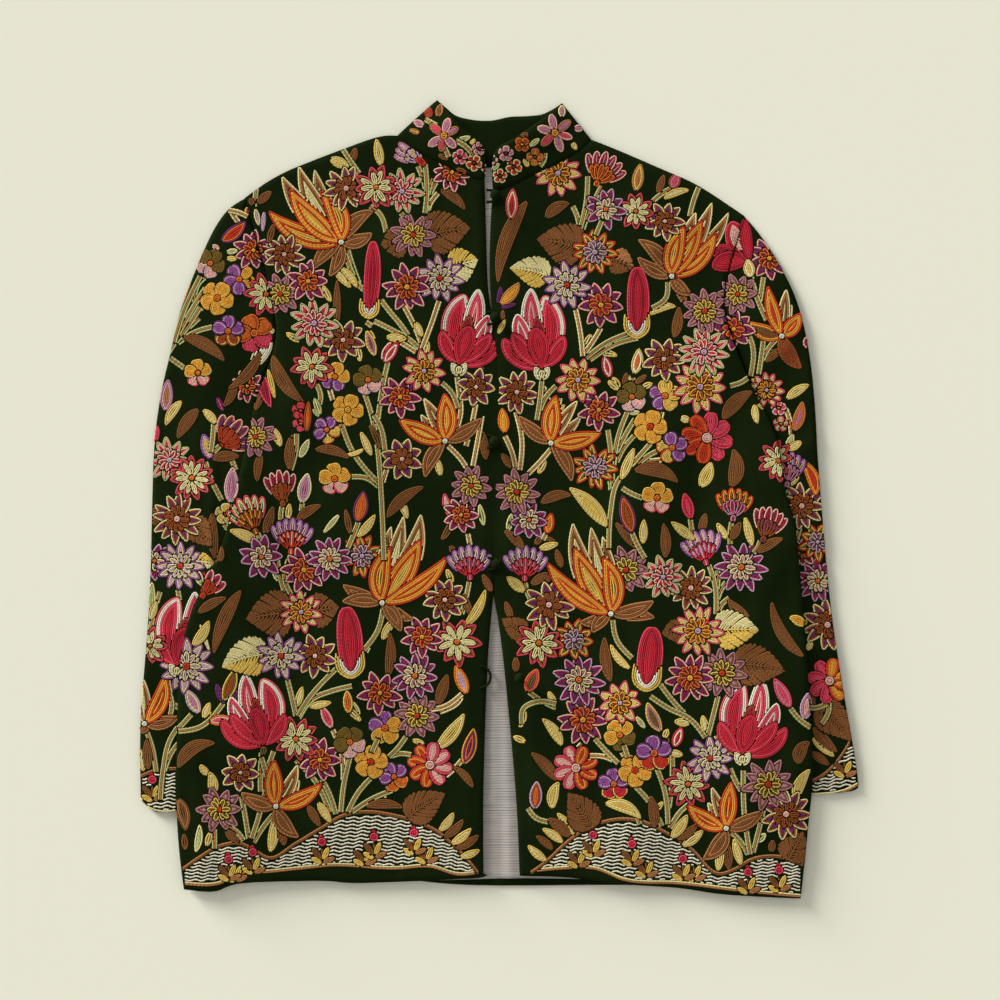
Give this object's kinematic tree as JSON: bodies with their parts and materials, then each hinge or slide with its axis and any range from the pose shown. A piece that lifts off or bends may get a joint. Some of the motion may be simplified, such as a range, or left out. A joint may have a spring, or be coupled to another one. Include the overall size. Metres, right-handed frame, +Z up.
{
  "type": "embroidered coat",
  "caption": "Hip-length dark green coat with a stand collar, ball buttons and loops, covered in wool chain-stitch flowers and laid out flat.",
  "frame": {"origin": "on the surface that the coat lies on, at the middle of its box", "axes": "+X to the right as seen from above, +Y towards the collar, +Z up from the surface"},
  "size_m": [0.6975, 0.7743, 0.0217],
  "materials": {
    "wool_cloth": "matte dark green wool cloth",
    "silk_lining": "silver-grey slub silk with fine ribs, soft sheen",
    "embroidery_wool": "matte wool chain stitch in many colours"
  },
  "bodies": {
    "root": {"back": "wool_cloth", "back_lining": "silk_lining", "front_left": "wool_cloth", "front_right": "wool_cloth", "sleeve_left_under": "wool_cloth", "sleeve_left_top": "wool_cloth", "sleeve_right_under": "wool_cloth", "sleeve_right_top": "wool_cloth", "collar_back": "wool_cloth", "collar_left": "wool_cloth", "collar_right": "wool_cloth", "button_1": "wool_cloth", "button_2": "wool_cloth", "button_3": "wool_cloth", "button_4": "wool_cloth", "button_5": "wool_cloth", "loop_1": "wool_cloth", "loop_2": "wool_cloth", "loop_3": "wool_cloth", "loop_4": "wool_cloth", "loop_5": "wool_cloth"}
  },
  "joints": []
}
